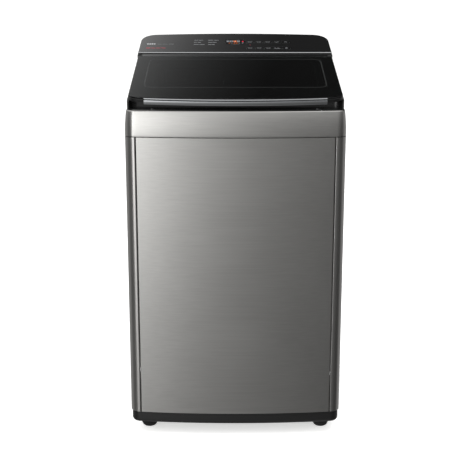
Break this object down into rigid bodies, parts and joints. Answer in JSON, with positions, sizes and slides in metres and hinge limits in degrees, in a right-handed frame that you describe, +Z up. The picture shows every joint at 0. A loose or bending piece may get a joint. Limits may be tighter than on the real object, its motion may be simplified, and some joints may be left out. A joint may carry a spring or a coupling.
{
  "type": "top load washing machine",
  "caption": "Top load washing machine with a bowed steel cabinet, a sloping tinted glass lid and a rear control panel.",
  "frame": {"origin": "on the floor, under the centre of the bounding box", "axes": "+Z up, the front faces -Y, +X is to the right of a person who faces the front"},
  "size_m": [0.54, 0.585, 0.9861],
  "materials": {
    "brushed_steel": "brushed, silver grey",
    "galvanised_sheet": "galvanised",
    "cast_aluminium": "as cast",
    "black_plastic": "fine grain",
    "gloss_black": "high gloss",
    "tub_plastic": "moulded, pale grey",
    "rubber": "moulded",
    "chrome_trim": "plated",
    "smoked_glass": "tempered, tinted",
    "stainless": "stainless",
    "board_green": "solder mask"
  },
  "bodies": {
    "cabinet": {"base_frame": "black_plastic", "left_side_panel": "brushed_steel", "right_side_panel": "brushed_steel", "front_panel": "brushed_steel", "back_panel": "galvanised_sheet", "service_cover": "galvanised_sheet", "top_skirt": "brushed_steel", "top_deck": "black_plastic", "console_housing": "black_plastic", "console_fascia": "gloss_black", "console_trim": "chrome_trim", "display_lens": "smoked_glass", "control_board": "board_green", "water_inlet_valve": "tub_plastic", "dispenser_housing": "tub_plastic", "lid_damper": "black_plastic", "rear_left_foot": "rubber", "rear_right_foot": "rubber", "drain_outlet": "black_plastic", "drain_hose": "rubber", "suspension_rod_front_left": "galvanised_sheet", "suspension_rod_front_right": "galvanised_sheet", "suspension_rod_rear_left": "galvanised_sheet", "suspension_rod_rear_right": "galvanised_sheet", "suspension_spring_front_left": "stainless", "suspension_spring_front_right": "stainless", "suspension_spring_rear_left": "stainless", "suspension_spring_rear_right": "stainless"},
    "lid": {"lid_frame": "black_plastic", "lid_glass": "smoked_glass", "lid_handle_trim": "chrome_trim", "left_hinge_pin": "stainless", "right_hinge_pin": "stainless"},
    "drawer": {"detergent_drawer": "tub_plastic"},
    "tub": {"outer_tub": "tub_plastic", "tub_cover": "tub_plastic", "drive_frame": "galvanised_sheet", "clutch_housing": "cast_aluminium", "motor": "cast_aluminium", "drive_belt": "rubber", "drain_valve": "tub_plastic"},
    "basket": {"wash_basket": "stainless", "balance_ring": "tub_plastic"},
    "wash_plate": {"pulsator": "tub_plastic"},
    "left_filter": {"left_lint_filter": "tub_plastic"},
    "right_filter": {"right_lint_filter": "tub_plastic"},
    "drive_pulley": {"clutch_pulley": "cast_aluminium"},
    "motor_shaft_pulley": {"motor_pulley": "cast_aluminium"},
    "front_left_levelling_foot": {"front_left_foot": "rubber"},
    "front_right_levelling_foot": {"front_right_foot": "rubber"},
    "program_key_cap": {"program_key": "gloss_black"},
    "water_level_key_cap": {"water_level_key": "gloss_black"},
    "soak_key_cap": {"soak_key": "gloss_black"},
    "delay_key_cap": {"delay_key": "gloss_black"},
    "power_key_cap": {"power_key": "gloss_black"},
    "wash_key_cap": {"wash_key": "gloss_black"},
    "rinse_key_cap": {"rinse_key": "gloss_black"},
    "spin_key_cap": {"spin_key": "gloss_black"},
    "start_pause_key_cap": {"start_pause_key": "gloss_black"},
    "child_lock_key_cap": {"child_lock_key": "gloss_black"}
  },
  "joints": [
    {"name": "lid_hinge", "type": "hinge", "parent": "cabinet", "child": "lid", "pos_m": [0, 0.083, 0.9392], "axis": [-1, 0, 0], "range_deg": [0, 105]},
    {"name": "detergent_drawer_slide", "type": "slide", "parent": "cabinet", "child": "drawer", "axis": [0, -1, 0], "range_m": [0, 0.1]},
    {"name": "tub_bounce", "type": "slide", "parent": "cabinet", "child": "tub", "axis": [0, 0, 1], "range_m": [-0.025, 0], "stiffness_N_per_m": 12000, "springref_m": 0.01782, "deforming": ["suspension_spring_front_left", "suspension_spring_front_right", "suspension_spring_rear_left", "suspension_spring_rear_right", "drain_hose"]},
    {"name": "basket_spin", "type": "hinge", "parent": "tub", "child": "basket", "pos_m": [0, -0.005, 0.5], "axis": [0, 0, 1], "continuous": true},
    {"name": "pulsator_spin", "type": "hinge", "parent": "basket", "child": "wash_plate", "pos_m": [0, -0.005, 0.34], "axis": [0, 0, 1], "continuous": true},
    {"name": "clutch_pulley_spin", "type": "hinge", "parent": "tub", "child": "drive_pulley", "pos_m": [0, -0.005, 0.128], "axis": [0, 0, 1], "continuous": true},
    {"name": "motor_pulley_spin", "type": "hinge", "parent": "tub", "child": "motor_shaft_pulley", "pos_m": [0.135, -0.005, 0.128], "axis": [0, 0, 1], "continuous": true},
    {"name": "left_filter_lift", "type": "slide", "parent": "basket", "child": "left_filter", "axis": [0, 0, 1], "range_m": [0, 0.045]},
    {"name": "right_filter_lift", "type": "slide", "parent": "basket", "child": "right_filter", "axis": [0, 0, 1], "range_m": [0, 0.045]},
    {"name": "front_left_foot_levelling", "type": "slide", "parent": "cabinet", "child": "front_left_levelling_foot", "axis": [0, 0, 1], "range_m": [-0.012, 0.003]},
    {"name": "front_right_foot_levelling", "type": "slide", "parent": "cabinet", "child": "front_right_levelling_foot", "axis": [0, 0, 1], "range_m": [-0.012, 0.003]},
    {"name": "program_key_press", "type": "slide", "parent": "cabinet", "child": "program_key_cap", "axis": [0, 0.1908, -0.9816], "range_m": [0, 0.0012], "stiffness_N_per_m": 1000, "springref_m": -0.0004},
    {"name": "water_level_key_press", "type": "slide", "parent": "cabinet", "child": "water_level_key_cap", "axis": [0, 0.1908, -0.9816], "range_m": [0, 0.0012], "stiffness_N_per_m": 1000, "springref_m": -0.0004},
    {"name": "soak_key_press", "type": "slide", "parent": "cabinet", "child": "soak_key_cap", "axis": [0, 0.1908, -0.9816], "range_m": [0, 0.0012], "stiffness_N_per_m": 1000, "springref_m": -0.0004},
    {"name": "delay_key_press", "type": "slide", "parent": "cabinet", "child": "delay_key_cap", "axis": [0, 0.1908, -0.9816], "range_m": [0, 0.0012], "stiffness_N_per_m": 1000, "springref_m": -0.0004},
    {"name": "power_key_press", "type": "slide", "parent": "cabinet", "child": "power_key_cap", "axis": [0, 0.1908, -0.9816], "range_m": [0, 0.0012], "stiffness_N_per_m": 1000, "springref_m": -0.0004},
    {"name": "wash_key_press", "type": "slide", "parent": "cabinet", "child": "wash_key_cap", "axis": [0, 0.1908, -0.9816], "range_m": [0, 0.0012], "stiffness_N_per_m": 1000, "springref_m": -0.0004},
    {"name": "rinse_key_press", "type": "slide", "parent": "cabinet", "child": "rinse_key_cap", "axis": [0, 0.1908, -0.9816], "range_m": [0, 0.0012], "stiffness_N_per_m": 1000, "springref_m": -0.0004},
    {"name": "spin_key_press", "type": "slide", "parent": "cabinet", "child": "spin_key_cap", "axis": [0, 0.1908, -0.9816], "range_m": [0, 0.0012], "stiffness_N_per_m": 1000, "springref_m": -0.0004},
    {"name": "start_pause_key_press", "type": "slide", "parent": "cabinet", "child": "start_pause_key_cap", "axis": [0, 0.1908, -0.9816], "range_m": [0, 0.0012], "stiffness_N_per_m": 1000, "springref_m": -0.0004},
    {"name": "child_lock_key_press", "type": "slide", "parent": "cabinet", "child": "child_lock_key_cap", "axis": [0, 0.1908, -0.9816], "range_m": [0, 0.0012], "stiffness_N_per_m": 1000, "springref_m": -0.0004}
  ],
  "couplings": [
    {"joint": "clutch_pulley_spin", "follows": "pulsator_spin", "ratio": 4.2},
    {"joint": "motor_pulley_spin", "follows": "pulsator_spin", "ratio": 14.944}
  ]
}
